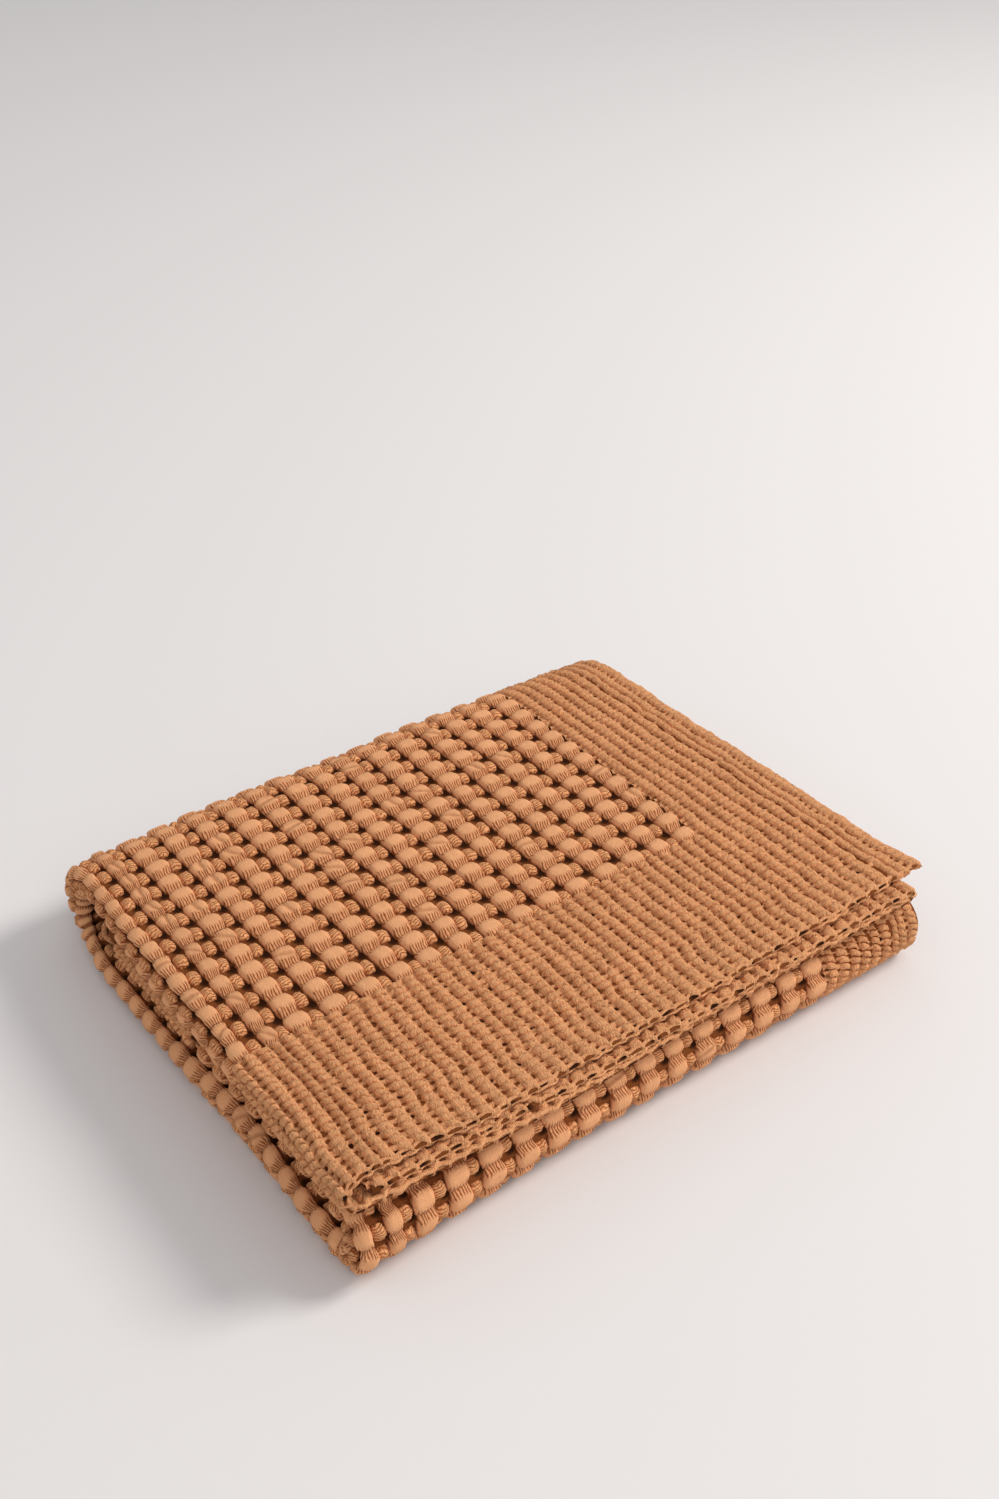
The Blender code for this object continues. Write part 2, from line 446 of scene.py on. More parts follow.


# Strands side by side with painted shade in their gaps, fine yarns on them and slow blotches of the washed
# dye
def makeYarnGroup():
    group = bpy.data.node_groups.new("yarns", "ShaderNodeTree")
    kinds = {"Place": "NodeSocketVector", "Colour": "NodeSocketColor", "Painted shade colour": "NodeSocketColor"}
    names = ("Place", "Colour", "Painted shade colour", "Yarn width", "Strand width", "Gap", "Bend", "Contrast",
             "Sharpness", "Yarn relief", "Crumple", "Fringe", "Crease", "Crease relief",
             "Lift", "Low", "High", "Lowest")
    for name in names:
        kind = kinds.get(name, "NodeSocketFloat")
        group.interface.new_socket(name, in_out="INPUT", socket_type=kind)
    group.interface.new_socket("Colour", in_out="OUTPUT", socket_type="NodeSocketColor")
    group.interface.new_socket("Height", in_out="OUTPUT", socket_type="NodeSocketFloat")
    nodes = group.nodes
    inside = nodes.new("NodeGroupInput").outputs
    outside = nodes.new("NodeGroupOutput").inputs
    split = nodes.new("ShaderNodeSeparateXYZ")
    group.links.new(inside["Place"], split.inputs["Vector"])

    def noise(name):
        node = nodes.new("ShaderNodeTexNoise")
        scale, detail = noiseLook[name]
        node.inputs["Scale"].default_value = scale
        node.inputs["Detail"].default_value = detail
        group.links.new(inside["Place"], node.inputs["Vector"])
        return node.outputs["Fac"]

    def stripes(width, bend, sharpness):
        count = mathNode(group, "MULTIPLY_ADD", noise("bend"), bend,
                         mathNode(group, "DIVIDE", split.outputs["X"], width))
        wave = mathNode(group, "SINE", mathNode(group, "MULTIPLY", count, math.pi))
        return mathNode(group, "POWER", mathNode(group, "ABSOLUTE", wave), sharpness)

    strand = stripes(inside["Strand width"], inside["Bend"], inside["Sharpness"])
    yarn = stripes(inside["Yarn width"], cottonLook["yarnBend"], 1.0)
    fuzz = noise("fuzz")
    fringe = mathNode(group, "MULTIPLY_ADD", mathNode(group, "SUBTRACT", fuzz, 0.5),
                      cottonLook["fringeFuzz"], inside["Fringe"])
    fringe = mathNode(group, "MULTIPLY", fringe, inside["Fringe"])
    fringe = mathNode(group, "MINIMUM", fringe, 1.0)
    gap = mathNode(group, "MULTIPLY", inside["Gap"], fringe)
    opening = mathNode(group, "MULTIPLY", mathNode(group, "SUBTRACT", 1.0, strand), gap)
    crumple = mathNode(group, "SUBTRACT", noise("crumple"), 0.5)
    crumple = mathNode(group, "MULTIPLY", crumple, inside["Crumple"])
    height = mathNode(group, "MULTIPLY_ADD", opening, -1.0, crumple)
    height = mathNode(group, "MULTIPLY_ADD", mathNode(group, "ADD", yarn, fuzz),
                      inside["Yarn relief"], height)
    # A pinched crease: a trough whose middle runs where the crease value is 0
    trough = nodes.new("ShaderNodeMapRange")
    trough.interpolation_type = "SMOOTHSTEP"
    trough.inputs["To Min"].default_value = 1.0
    trough.inputs["To Max"].default_value = 0.0
    group.links.new(mathNode(group, "ABSOLUTE", inside["Crease"]), trough.inputs["Value"])
    sunk = mathNode(group, "MULTIPLY", trough.outputs["Result"], inside["Crease relief"])
    group.links.new(mathNode(group, "SUBTRACT", height, sunk), outside["Height"])
    # Tone: blotches, yarns and fuzz around the colour, with painted shade between the yarns, then the deep
    # colour as painted shade in gaps and low places
    tone = mathNode(group, "ADD", noise("blotch"), fuzz)
    tone = mathNode(group, "MULTIPLY_ADD", yarn, cottonLook["yarnTone"], tone)
    tone = mathNode(group, "SUBTRACT", tone, cottonLook["toneMiddle"])
    tone = mathNode(group, "MULTIPLY_ADD", tone, inside["Contrast"], 1.0)
    shade = nodes.new("ShaderNodeVectorMath")
    shade.operation = "SCALE"
    group.links.new(inside["Colour"], shade.inputs["Vector"])
    group.links.new(tone, shade.inputs["Scale"])
    # Painted shade that follows the height: below High the colour sinks towards the deep colour
    raised = nodes.new("ShaderNodeMapRange")
    raised.interpolation_type = "SMOOTHSTEP"
    ramp = {"Lift": "Value", "Low": "From Min", "High": "From Max", "Lowest": "To Min"}
    for name, socket in ramp.items():
        group.links.new(inside[name], raised.inputs[socket])
    # Painted shade in the creases' troughs and in the deep crumples
    dim = mathNode(group, "MULTIPLY_ADD", trough.outputs["Result"], cottonLook["creaseShade"], 1.0)
    shadeInHollows = mathNode(group, "MULTIPLY_ADD", crumple, cottonLook["crumpleShade"], cottonLook["crumpleShadeLevel"])
    dim = mathNode(group, "MULTIPLY", dim, mathNode(group, "MINIMUM", shadeInHollows, 1.0))
    lit = mathNode(group, "SUBTRACT", 1.0, opening)
    lit = mathNode(group, "MULTIPLY", raised.outputs["Result"], lit)
    lit = mathNode(group, "MULTIPLY", lit, dim)
    tint = nodes.new("ShaderNodeMix")
    tint.data_type = "RGBA"
    group.links.new(lit, tint.inputs["Factor"])
    group.links.new(inside["Painted shade colour"], tint.inputs["A"])
    group.links.new(shade.outputs["Vector"], tint.inputs["B"])
    group.links.new(tint.outputs["Result"], outside["Colour"])
    return group


yarnGroup = makeYarnGroup()


# Share of the painted shade in the dark pit beside each knot, for a place on the flat cloth
def makePitShadeGroup():
    group = bpy.data.node_groups.new("pitShades", "ShaderNodeTree")
    group.interface.new_socket("Place", in_out="INPUT", socket_type="NodeSocketVector")
    group.interface.new_socket("Share", in_out="OUTPUT", socket_type="NodeSocketFloat")
    split = group.nodes.new("ShaderNodeSeparateXYZ")
    group.links.new(group.nodes.new("NodeGroupInput").outputs["Place"], split.inputs["Vector"])
    total = None
    axes = (("X", "firstColumn", "columnPitch"), ("Y", "firstRow", "rowPitch"))
    for number, (axis, first, pitch) in enumerate(axes):
        pitch = weave[pitch] * mapScale
        start = weave[first] * mapScale + cottonLook["pitShadePlace"][number] * pitch
        count = mathNode(group, "DIVIDE", mathNode(group, "SUBTRACT", split.outputs[axis], start), pitch)
        count = mathNode(group, "SUBTRACT", count, mathNode(group, "ROUND", count))
        count = mathNode(group, "DIVIDE", count, cottonLook["pitShadeReach"][number])
        total = mathNode(group, "MULTIPLY_ADD", count, count, total if total else 0.0)
    near = group.nodes.new("ShaderNodeMapRange")
    near.interpolation_type = "SMOOTHSTEP"
    near.inputs["From Max"].default_value = cottonLook["pitShadeEdge"]
    near.inputs["To Min"].default_value = 1.0
    near.inputs["To Max"].default_value = 0.0
    group.links.new(total, near.inputs["Value"])
    group.links.new(near.outputs["Result"], group.nodes.new("NodeGroupOutput").inputs["Share"])
    return group


pitShadeGroup = makePitShadeGroup()


def cottonMaterial(name, look):
    material = bpy.data.materials.new(name)
    material.use_nodes = True
    tree = material.node_tree
    shader = tree.nodes["Principled BSDF"]
    place = tree.nodes.new("ShaderNodeUVMap")
    place.uv_map = "cloth"
    yarns = tree.nodes.new("ShaderNodeGroup")
    yarns.node_tree = yarnGroup
    for socket, value in (
        ("Colour", (*look["colour"], 1)),
        ("Painted shade colour", cottonLook["deep"]),
        ("Yarn width", look["yarn"] * mapScale),
        ("Strand width", look["strand"] * mapScale),
        ("Gap", look["gap"]),
        ("Bend", look["bend"]),
        ("Crumple", look["crumple"]),
        ("Sharpness", look["sharpness"]),
        ("Contrast", cottonLook["contrast"]),
        ("Yarn relief", cottonLook["yarnRelief"]),
        ("Fringe", 1.0),
        ("Crease", farFromCrease),
        ("Crease relief", cottonLook["creaseRelief"]),
        ("Low", look["low"] * liftScale),
        ("High", look["high"] * liftScale),
        ("Lowest", look["lowest"]),
    ):
        yarns.inputs[socket].default_value = value
    for name in ("lift", "fringe", "crease") if look.get("fringe") else ("lift",):
        attribute = tree.nodes.new("ShaderNodeAttribute")
        attribute.attribute_name = name
        nodeLink(tree, attribute, "Fac", yarns, name.capitalize())
    turn = tree.nodes.new("ShaderNodeMapping")
    turn.inputs["Rotation"].default_value = (0, 0, math.pi / 2 if look.get("turned") else 0)
    nodeLink(tree, place, "UV", turn, "Vector")
    nodeLink(tree, turn, "Vector", yarns, "Place")
    relief = tree.nodes.new("ShaderNodeBump")
    relief.inputs["Strength"].default_value = 1.0
    relief.inputs["Distance"].default_value = cottonLook["relief"]
    nodeLink(tree, yarns, "Height", relief, "Height")
    nodeLink(tree, yarns, "Colour", shader, "Base Color")
    # The dark pits beside the knots are painted shade mixed into the ground's colour
    if look.get("pitShades"):
        pitShades = tree.nodes.new("ShaderNodeGroup")
        pitShades.node_tree = pitShadeGroup
        nodeLink(tree, place, "UV", pitShades, "Place")
        darkened = tree.nodes.new("ShaderNodeMix")
        darkened.data_type = "RGBA"
        darkened.inputs["B"].default_value = cottonLook["pitShade"]
        nodeLink(tree, pitShades, "Share", darkened, "Factor")
        nodeLink(tree, yarns, "Colour", darkened, "A")
        nodeLink(tree, darkened, "Result", shader, "Base Color")
    nodeLink(tree, relief, "Normal", shader, "Normal")
    shader.inputs["Roughness"].default_value = cottonLook["roughness"]
    shader.inputs["Specular IOR Level"].default_value = cottonLook["shine"]
    return material


# The ground of the cloth
ground = {
    "depth": -0.0034,          # its middle, low under the puffs
    "borderDepth": -0.0008,    # and close under the ribs
    "borderBlend": 0.006,
    "thickness": 0.0020,
    "lengthSteps": (64, 14, 30, 12, 30),
    "widthSteps": (44, 20, 36, 16, 20),
}


# Distance of the grid lines: each run has its own even steps, and the last one ends the cloth
def placeOnRuns(runs, steps, line, total=None):
    place, done, start = np.zeros(len(line)), np.zeros(len(line)), 0
    for number, ((length, _, _), count) in enumerate(zip(runs, steps)):
        if total is not None and number == len(runs) - 1:
            length = total - done
        place = place + length * np.clip((line - start) / count, 0, 1)
        done, start = done + length, start + count
    return place


def makeCloth():
    columns, rows = sum(ground["lengthSteps"]), sum(ground["widthSteps"])
    bm = bmesh.new()
    bmesh.ops.create_grid(bm, x_segments=columns, y_segments=rows, size=0.5)
    mesh = meshFrom("cloth", bm)
    points = meshPoints(mesh)
    column = np.round((points[:, 0] + 0.5) * columns)
    row = np.round((points[:, 1] + 0.5) * rows)
    across = np.zeros(len(points))
    for _ in range(5):
        along = placeOnRuns(lengthRuns(across), ground["lengthSteps"], column)
        across = placeOnRuns(widthRuns(along), ground["widthSteps"], row, stack["clothWidth"])
    beyond = np.minimum(along - weave["borderLength"], across - weave["borderWidth"])
    border = np.clip(1 - beyond / ground["borderBlend"], 0, 1)
    height = ground["depth"] + (ground["borderDepth"] - ground["depth"]) * border
    mesh.vertices.foreach_set("co", np.stack([along, across, height], axis=-1).ravel())
    # The face takes the ground cotton, dark as painted shade; through the material offset the back takes
    # the lit cotton
    piece = newPiece("cloth", mesh, shadedGroundCotton)
    mesh.materials.append(backCotton)
    layInFolds(piece, onCloth=True)
    solidify = piece.modifiers.new("thickness", "SOLIDIFY")
    solidify.thickness = ground["thickness"]
    solidify.offset = 0
    solidify.material_offset = 1
    return piece


shadedGroundCotton = cottonMaterial("shadedGroundCotton", cottonLook["ground"])
backCotton = cottonMaterial("backCotton", cottonLook["back"])
cloth = makeCloth()
print("the ground of the cloth is folded")

# Links, arrays and blocks
linkShape = {                  # how the forms of a link fall off
    "taper": 1.6,
    "oval": 4,
    "bellyWaist": 0.35,        # the belly's waist against the top's
}
weldReach = 0.00001            # points of a shape that lie closer than this are one


# One closed link of a chain that runs across the cloth, pillowed above, and below where it has a belly
def makeLink(link):
    over, under, marks = link["over"], link["under"], link["marks"]
    bm = bmesh.new()
    bmesh.ops.create_grid(bm, x_segments=over + under, y_segments=len(marks) - 1, size=0.5)
    for vertex in bm.verts:
        column = round((vertex.co.x + 0.5) * (over + under)) % (over + under)
        mark = marks[round((vertex.co.y + 0.5) * (len(marks) - 1))]
        side = -1 + 2 * column / over if column <= over else 1 - 2 * (column - over) / under
        # Towards its corners the top rounds off, so that it is oval
        start = link["flatShare"] - link["oval"] * side ** linkShape["oval"]
        waist = min(max((abs(mark) - start) / (0.5 - start), 0), 1)
        waist = waist * waist * (3 - 2 * waist)
        half = link["width"] / 2 * (1 - link["taper"] * abs(2 * mark) ** linkShape["taper"])
        if column <= over:
            end = link["top"] - link["crown"] * (2 * mark) ** 2 * (1 - waist)
            end = end + (link["waistTop"] - end) * waist
        else:
            end = link["belly"] - (link["belly"] - link["foot"]) * linkShape["bellyWaist"] * waist
        side = math.copysign(1 - (1 - abs(side)) ** link["even"], side)
        rise = max(1 - abs(side) ** link["square"], 0) ** (1 / link["square"])
        vertex.co.x = side * half
        vertex.co.y = (mark + link["skew"] * side + link["bow"] * (1 - side * side)) * link["pitch"]
        vertex.co.z = link["foot"] + (end - link["foot"]) * rise
    bmesh.ops.remove_doubles(bm, verts=bm.verts, dist=weldReach)
    return meshFrom("link", bm)


# Repeats a flat shape over a block of columns and rows
def repeatBlock(mesh, block):
    source = bpy.data.objects.new("block", mesh)
    bpy.context.scene.collection.objects.link(source)
    for axis, count, pitch in (
        (1, block["rows"], block["rowPitch"]),
        (0, block["columns"], block["columnPitch"]),
    ):
        array = source.modifiers.new("array", "ARRAY")
        array.use_relative_offset = False
        array.use_constant_offset = True
        array.constant_offset_displace = [pitch if step == axis else 0 for step in range(3)]
        array.count = count
        array.use_merge_vertices = axis == 1
        array.merge_threshold = 2 * weldReach
    graph = bpy.context.evaluated_depsgraph_get()
    repeated = bpy.data.meshes.new_from_object(source.evaluated_get(graph))
    bpy.data.objects.remove(source)
    repeated.transform(Matrix.Translation((block["firstColumn"], block["firstRow"], 0)))
    return repeated


def joinMeshes(name, meshes, material, closeEnds=True):
    bm = bmesh.new()
    for mesh in meshes:
        bm.from_mesh(mesh)
        bpy.data.meshes.remove(mesh)
    if closeEnds:
        bmesh.ops.holes_fill(bm, edges=[edge for edge in bm.edges if edge.is_boundary], sides=0)
    return newPiece(name, meshFrom(name, bm), material)


def puffBlock(firstColumn, columns, firstRow, rows):
    return {
        "firstColumn": weave["firstColumn"] + firstColumn * weave["columnPitch"],
        "columns": columns,
        "columnPitch": weave["columnPitch"],
        "firstRow": weave["firstRow"] + firstRow * weave["rowPitch"],
        "rows": rows,
        "rowPitch": weave["rowPitch"],
    }


puffBlocks = {
    "top": puffBlock(0, 17, 0, 23),          # the top and the outer loop
    "under": puffBlock(0, 17, 23, 22),       # the underside and the big fold
    "wrap": puffBlock(14, 3, 45, 5),         # the fold of the middle strip
    "curl": puffBlock(33, 3, 0, 50),         # the curls below the hem
}

# Puffs
puffs = {
    "pitch": weave["rowPitch"],
    "width": 0.0202,
    "taper": 0.22,             # share of the width that is lost at the waist
    "oval": 0.17,              # how much the top rounds off towards its corners
    "top": 0.0050,
    "crown": 0.0003,
    "waistTop": -0.0006,       # of the threads between two puffs
    "foot": -0.0034,
    "belly": -0.0034,
    "flatShare": 0.25,
    "square": 4.2,             # how full its section is
    "even": 1.4,               # how much closer its faces lie at its sides
    "skew": 0.0,
    "bow": 0.0,
    "over": 10,
    "under": 1,
    "marks": (-0.5, -0.42, -0.34, -0.29, -0.10, 0.10, 0.29, 0.34, 0.42, 0.5),
    "fringe": 0.26,            # the threads show from here to the waist
    "fringeBlend": 0.05,
    "foldPinch": 0.22,         # share of the width that the puffs on the fold at -X lose
    # How much one puff differs from the next
    "chances": (60, 80, 7),    # columns, rows and chances for each puff
    "turned": 0.44,            # radians
    "widened": 0.20,           # share of the width
    "movedAlong": 0.0024,
    "movedAcross": 0.0018,
    "raised": 0.0014,
    "ruffle": (0.0003, 0.0004, 0.0002),
    # Creases that pinch a puff
    "creaseWidth": 0.0032,
    "creaseDepth": 0.0028,
    "alsoCreased": 0.08,       # share of the other puffs that are creased
    "alsoTurned": 2.0,         # and how far their creases turn at most
    "creases": [               # column and row of a creased puff, and its turn from the cloth's width
        (14, 11, 0.2), (14, 10, 0.0), (14, 9, -0.1), (14, 8, 0.3), (14, 7, -0.3), (12, 9, -0.2),
        (12, 8, 0.0), (11, 10, 0.1), (11, 9, 0.5), (14, 2, 0.9), (13, 5, 0.8), (12, 3, 1.3),
        (11, 5, 0.2), (9, 6, 1.1), (9, 5, 1.3), (8, 7, 0.9), (8, 4, 1.4), (6, 11, 1.2),
        (5, 6, 1.0), (4, 3, 1.3), (2, 8, 0.7), (10, 14, 0.2),
    ],
}


def makePuffs(name, names):
    link = makeLink(puffs)
    piece = joinMeshes(name, [repeatBlock(link, puffBlocks[key]) for key in names], puffCotton)
    bpy.data.meshes.remove(link)
    a, b, height = meshPoints(piece.data).T
    column = (a - weave["firstColumn"]) / weave["columnPitch"]
    row = (b - weave["firstRow"]) / weave["rowPitch"]
    cell = np.round(column).astype(int), np.round(row).astype(int)
    inRow = row - cell[1]
    alongCell, acrossCell = (column - cell[0]) * weave["columnPitch"], inRow * weave["rowPitch"]
    window = np.cos(inRow * math.pi) ** 2
    top = np.clip((height - puffs["foot"]) / (puffs["top"] - puffs["foot"]), 0, 1)
    # Each puff is turned, moved, wider or higher than the next by a little, and some are creased
    chance = np.random.default_rng(7).random(puffs["chances"])[cell].T
    widened, raised, _, _, turned, movedAlong, movedAcross = (chance - 0.5) * window
    turned = turned * puffs["turned"]
    pinched = (cell[0] == weave["foldColumn"]) * puffs["foldPinch"] * window
    a = a + alongCell * (widened * puffs["widened"] - pinched) - acrossCell * turned
    a = a + movedAlong * puffs["movedAlong"]
    b = b + alongCell * turned + movedAcross * puffs["movedAcross"]
    height = height + raised * puffs["raised"] * top
    turnByHand = np.full(puffs["chances"][:2], np.nan)
    for creasedColumn, creasedRow, turn in puffs["creases"]:
        turnByHand[creasedColumn, creasedRow] = turn
    angle = turnByHand[cell]
    dented = (chance[2] < puffs["alsoCreased"]) | ~np.isnan(angle)
    angle = np.where(np.isnan(angle), chance[3] * puffs["alsoTurned"], angle)
    crease = (alongCell * np.cos(angle) - acrossCell * np.sin(angle)) / puffs["creaseWidth"]
    height = height - dented * puffs["creaseDepth"] * np.exp(-crease * crease) * window * top
    placeRuffled(piece.data, a, b, height, puffs["ruffle"], 21)
    reach = puffs["fringe"] - puffs["oval"] * np.minimum(np.abs(alongCell) / (puffs["width"] / 2), 1) ** 3
    shown = np.clip((np.abs(inRow) - reach) / puffs["fringeBlend"], 0, 1)
    fringe = piece.data.attributes.new("fringe", "FLOAT", "POINT")
    fringe.data.foreach_set("value", shown)
    creased = piece.data.attributes.new("crease", "FLOAT", "POINT")
    creased.data.foreach_set("value", np.where(dented, crease, farFromCrease))
    layInFolds(piece)
    return piece


puffCotton = cottonMaterial("puffCotton", cottonLook["puff"])
puffPieces = [makePuffs("puffsTop", ["top"]), makePuffs("puffsAround", ["under", "wrap", "curl"])]
print("puffs:", sum(len(piece.data.polygons) for piece in puffPieces), "faces")

# Knots between the puffs
knots = {
    "length": 0.0154,
    "span": 0.0126,            # of the middle strands, from puff to puff
    "top": 0.0034,
    "foot": -0.0036,
    "place": (0.54, -0.08),    # in columns and rows from a puff
    "around": 6,
    "along": 9,
    "even": 1.4,               # how much closer its faces lie at its ends
    "blunt": 0.97,             # its ends stop short of a point
    "endSpan": 0.40,           # share of the span that the strands at its ends have
    "dome": (2.4, 0.55),       # how full the dome is along the knot
    "section": 0.8,            # and across it
    "swell": (0.0006, 0.02, 3),
    "ruffle": (0.0005, 0.0005, 0.0005),
}


# A dome of strands that arch from puff to puff, lower and shorter towards both ends of the knot
def makeKnot():
    around, along = knots["around"], knots["along"]
    bm = bmesh.new()
    bmesh.ops.create_grid(bm, x_segments=around + 1, y_segments=along, size=0.5)
    for vertex in bm.verts:
        column = round((vertex.co.x + 0.5) * (around + 1)) % (around + 1)
        off = 2 * vertex.co.y
        off = math.copysign(1 - (1 - abs(off)) ** knots["even"], off) * knots["blunt"]
        arch = (1 - abs(off) ** knots["dome"][0]) ** knots["dome"][1]
        span = knots["span"] * (knots["endSpan"] + (1 - knots["endSpan"]) * arch)
        turn = math.pi * column / around
        rise = arch * math.sin(turn) ** knots["section"]
        vertex.co.x = -math.cos(turn) * span / 2
        vertex.co.y = off * knots["length"] / 2
        vertex.co.z = knots["foot"] + (knots["top"] - knots["foot"]) * rise
    bmesh.ops.remove_doubles(bm, verts=bm.verts, dist=weldReach)
    bmesh.ops.holes_fill(bm, edges=[edge for edge in bm.edges if edge.is_boundary], sides=0)
    return meshFrom("knot", bm)


def moved(block, columns, rows):
    return {
        **block,
        "firstColumn": block["firstColumn"] + columns * weave["columnPitch"],
        "firstRow": block["firstRow"] + rows * weave["rowPitch"],
    }


def makeKnots(name, names):
    source = makeKnot()
    blocks = [repeatBlock(source, moved(puffBlocks[key], *knots["place"])) for key in names]
    piece = joinMeshes(name, blocks, knotCotton, closeEnds=False)
    bpy.data.meshes.remove(source)
    a, b, height = meshPoints(piece.data).T
    height = height + wander(a, b, *knots["swell"])
    placeRuffled(piece.data, a, b, height, knots["ruffle"], 22)
    layInFolds(piece)
    return piece


knotCotton = cottonMaterial("knotCotton", cottonLook["knot"])
knotPieces = [makeKnots("knotsTop", ["top"]), makeKnots("knotsAround", ["under", "wrap", "curl"])]
print("knots:", sum(len(piece.data.polygons) for piece in knotPieces), "faces")

# Ribbed borders and hem
beads = {
    "pitch": weave["beadPitch"],
    "width": 0.0114,
    "taper": 0.18,
    "oval": 0.10,
    "top": 0.0046,
    "crown": 0.0009,
    "waistTop": -0.0014,
    "foot": -0.0014,
    "belly": -0.0014,
    "flatShare": 0.36,
    "square": 2.8,
    "even": 1.2,
    "skew": 0.30,              # share of a bead by which its ends slant
    "bow": 0.22,               # and bulge
    "over": 6,
    "under": 1,
    "marks": (-0.5, -0.41, -0.26, 0.26, 0.41, 0.5),
    "swell": (0.14, 0.012, 4),               # of the height, from bead to bead
    "slowSwell": (0.08, 0.05, 9),            # and from place to place
    "slip": (0.0006, 0.02, 12),
    "ruffle": (0.0005, 0.0005, 0.0004),
}
edgeBeads = {**beads, "foot": -0.0006, "belly": -0.0060, "under": 4, "marks": (-0.5, -0.36, 0.36, 0.5)}


def beadBlock(firstRib, ribs, firstBead, count):
    return {
        "firstColumn": weave["hemWidth"] + (firstRib + 0.5) * weave["ribPitch"],
        "columns": ribs,
        "columnPitch": weave["ribPitch"],
        "firstRow": (firstBead + 0.5) * weave["beadPitch"],
        "rows": count,
        "rowPitch": weave["beadPitch"],
    }


ribBlocks = [
    beadBlock(0, 6, 5, 203),                 # along the hem, all the way round
    beadBlock(6, 40, 5, 15),                 # along the free edge of the top layer
    beadBlock(34, 12, 185, 19),              # at the hidden edge, where it shows in the fold at -X
    beadBlock(80, 9, 185, 19),               # and in the curl at +X
]
edgeBlocks = [beadBlock(0, 128, 0, 5)]       # the free edges of the upper three layers
hem = {
    "rows": [                                # from the outer edge in
        {"middle": 0.0055, "width": 0.0130, "waistTop": 0.0002},
        {"middle": 0.0184, "width": 0.0094, "waistTop": 0.0008},
        {"middle": 0.0275, "width": 0.0088, "waistTop": 0.0012},
    ],
    "top": 0.0040,
    "skew": 0.4,
    "beads": 208,
    "stitches": {0.0124: 1, 0.0334: 3},      # groove that they cross, and beads from one to the next
}
ribWander = {
    "edgeHem": 0.045,                        # width of the hem by the free edge
    "edgeHemBlend": 0.010,
    "edgeHemStart": 0.03,                    # it starts this far from the hem on top
    "edgeHemStartBlend": 0.02,
    "step": 0.0026,                          # the ribs in it stand this far aside
    "inEdgeHem": (0.0007, 0.05, 11),         # amount, reach and seed
    "hem": 0.040,
    "hemBlend": 0.006,
    "inHem": (0.0010, 0.06, 13),
    "ripple": (0.0005, 0.018, 14),
    "longer": 0.3,                           # the hem's wander is drawn out along the rows
    "everywhere": (0.0006, 0.03, 2),
}
rim = {
    "around": 6,
    "scallop": 0.0009,
    "sway": (0.0012, 0.03, 5),
    "swell": (0.0004, 0.03, 8),
    "ruffle": (0.0003, 0.0002, 0.0002),
    "band": {"place": 0.0022, "width": 0.0036, "height": -0.0014, "depth": 0.0074, "lift": 0.0016},
    "lip": {"place": 0.0012, "width": 0.0036, "height": -0.0036, "depth": 0.0034, "lift": 0.0036},
    "pieces": [                              # name, edge, length, steps along it and section
        ("edgeBand", 0, 1.735, 400, "band"),
        ("edgeLip", 0, 1.735, 700, "lip"),
        ("hiddenBand", stack["clothWidth"], 1.695, 400, "band"),
        ("hiddenLip", stack["clothWidth"], 1.695, 500, "lip"),
    ],
}
furrows = {
    "length": 0.0066,
    "width": 0.0070,
    "top": 0.0012,
    "foot": -0.0012,
    "round": 0.7,                            # how full their arch is
    "endRise": 0.25,                         # of the strand's ends, against its length
    "offset": 0.5,                           # from a bead's middle, in beads
    "ruffle": (0.0003, 0.0011, 0.0012),
}


# The ribs step sideways where the hem by the free edge ends, and wander more inside it
def wanderedRibs(a, b):
    shape = ribWander
    inside = np.clip((shape["edgeHem"] - b) / shape["edgeHemBlend"], 0, 1)
    inside = inside * np.clip((a - shape["edgeHemStart"]) / shape["edgeHemStartBlend"], 0, 1)
    a = a + inside * (shape["step"] + wander(a, b, *shape["inEdgeHem"]))
    # The hem's grooves and its outer edge aren't straight
    inHem = np.clip((shape["hem"] - a) / shape["hemBlend"], 0, 1)
    drawnOut = a * shape["longer"]
    a = a + inHem * (wander(drawnOut, b, *shape["inHem"]) + wander(drawnOut, b, *shape["ripple"]))
    return a + wander(a, b, *shape["everywhere"])


def makeRibs(name, link, blocks, rows=()):
    source = makeLink(link)
    meshes = [repeatBlock(source, block) for block in blocks]
    bpy.data.meshes.remove(source)
    for row in rows:
        source = makeLink({**link, **row, "top": hem["top"], "skew": hem["skew"]})
        block = {**beadBlock(0, 1, 0, hem["beads"]), "firstColumn": row["middle"]}
        meshes.append(repeatBlock(source, block))
        bpy.data.meshes.remove(source)
    piece = joinMeshes(name, meshes, ribCotton)
    a, b, height = meshPoints(piece.data).T
    height = height * (1 + wander(a, b, *link["swell"]) + wander(a, b, *link["slowSwell"]))
    a = wanderedRibs(a, b)
    b = b + wander(a, b, *link["slip"])
    placeRuffled(piece.data, a, b, height, link["ruffle"], 23)
    layInFolds(piece, bothFaces=link["under"] > 1)
    return piece


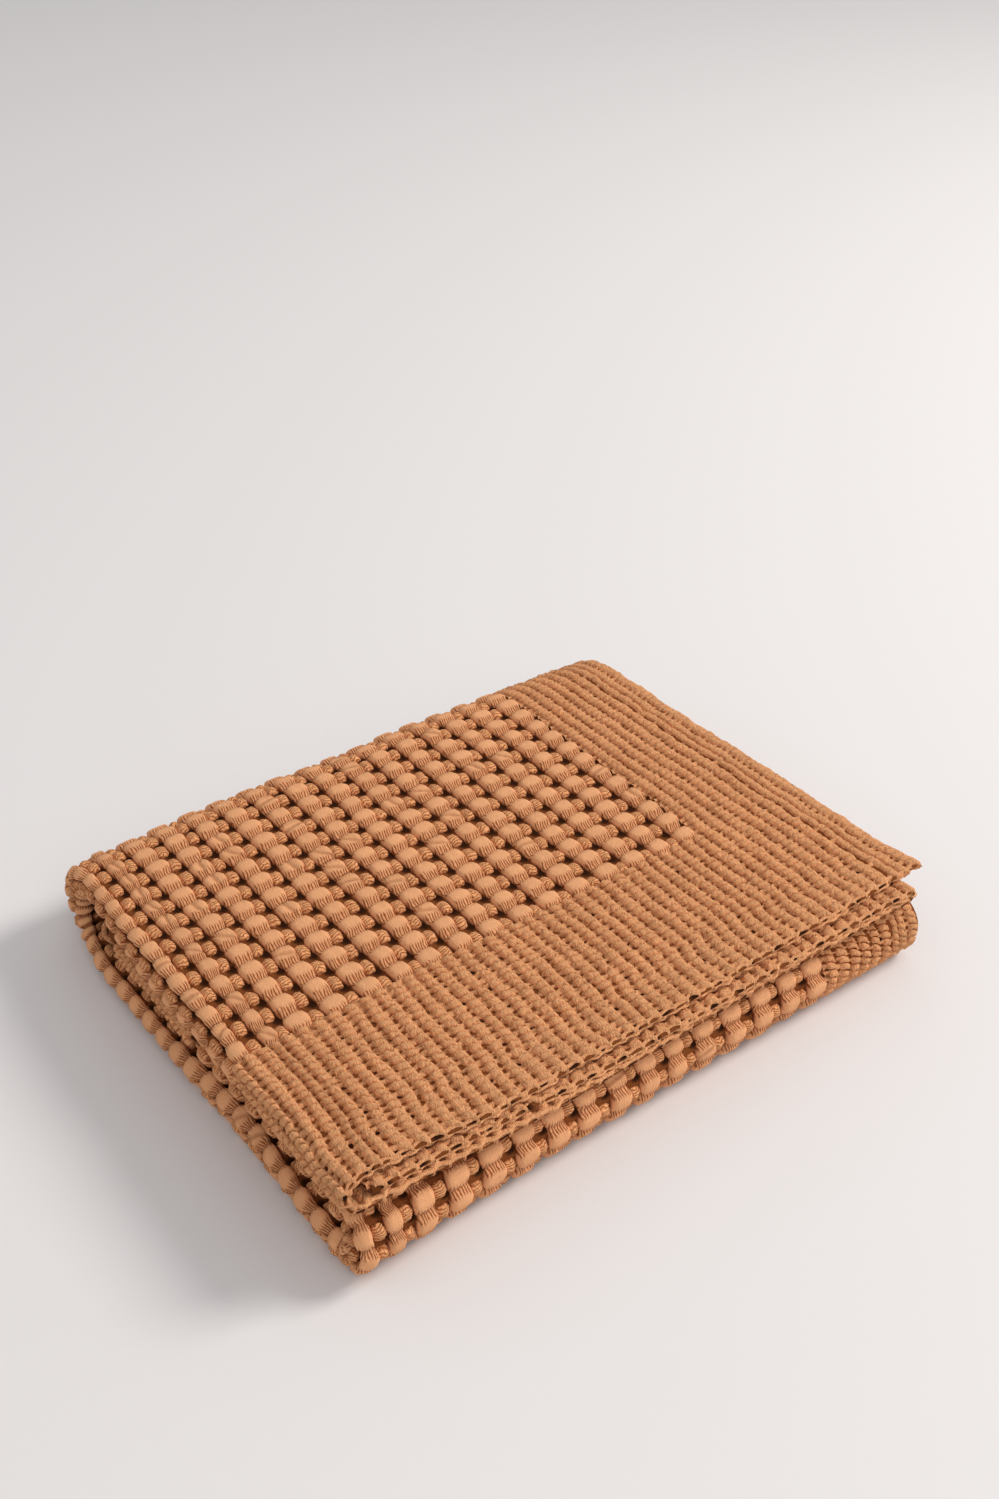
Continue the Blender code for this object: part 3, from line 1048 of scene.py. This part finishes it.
# A flattened tube that runs along an edge of the cloth
def makeRim(name, edge, length, steps, section):
    shape = rim[section]
    bm = bmesh.new()
    bmesh.ops.create_grid(bm, x_segments=steps, y_segments=rim["around"], size=0.5)
    for vertex in bm.verts:
        turn = (vertex.co.y + 0.5) * 2 * math.pi
        vertex.co.x = (vertex.co.x + 0.5) * length
        vertex.co.y = shape["width"] / 2 * math.cos(turn)
        vertex.co.z = shape["height"] - shape["depth"] / 2 * math.sin(turn)
    bmesh.ops.remove_doubles(bm, verts=bm.verts, dist=weldReach)
    piece = newPiece(name, meshFrom(name, bm), ribCotton)
    a, b, height = meshPoints(piece.data).T
    inward = -1 if edge else 1
    scallop = np.cos((wanderedRibs(a, b) - weave["hemWidth"]) / weave["ribPitch"] * 2 * math.pi)
    sway = wander(a, a * 0, *rim["sway"])
    b = b + edge + inward * (shape["place"] + scallop * rim["scallop"] + sway)
    height = height + wander(a, a * 0, *rim["swell"])
    placeRuffled(piece.data, a, b, height, rim["ruffle"], 24)
    layInFolds(piece, onCloth=edge > 0, leastLift=shape["lift"])
    return piece


# Short strands from rib to rib, which leave small pits between them
def makeFurrows(name, blocks):
    bm = bmesh.new()
    bmesh.ops.create_grid(bm, x_segments=2, y_segments=4, size=0.5)
    for vertex in bm.verts:
        rise = math.cos(vertex.co.y * math.pi) ** furrows["round"]
        vertex.co.x = vertex.co.x * furrows["length"]
        vertex.co.y = vertex.co.y * furrows["width"]
        vertex.co.z = furrows["foot"] + (furrows["top"] - furrows["foot"]) * rise
        vertex.co.z += abs(vertex.co.x) * furrows["endRise"]
    source = meshFrom("furrow", bm)
    moves = [{
        **block,
        "firstColumn": block["firstColumn"] + weave["ribPitch"] / 2,
        "firstRow": block["firstRow"] + weave["beadPitch"] * furrows["offset"],
    } for block in blocks]
    for groove, step in hem["stitches"].items():
        moves.append({
            **beadBlock(0, 1, 0, (hem["beads"] - 1) // step),
            "firstColumn": groove,
            "rowPitch": weave["beadPitch"] * step,
        })
    piece = joinMeshes(name, [repeatBlock(source, block) for block in moves], ribCotton, closeEnds=False)
    bpy.data.meshes.remove(source)
    a, b, height = meshPoints(piece.data).T
    placeRuffled(piece.data, wanderedRibs(a, b), b, height, furrows["ruffle"], 25)
    layInFolds(piece)
    return piece


ribCotton = cottonMaterial("ribCotton", cottonLook["rib"])
ribPieces = [
    makeRibs("ribs", beads, ribBlocks),
    makeRibs("edges", edgeBeads, edgeBlocks, hem["rows"]),
    makeFurrows("furrows", [*ribBlocks, *edgeBlocks]),
    *[makeRim(*values) for values in rim["pieces"]],
]
print("ribs:", sum(len(piece.data.polygons) for piece in ribPieces), "faces")

# Every piece joins the root body, and the blanket's solid is hidden
extras = [*puffPieces, *knotPieces, *ribPieces]
for piece in [cloth, *extras]:
    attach(piece, "root")
    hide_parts("blanket")
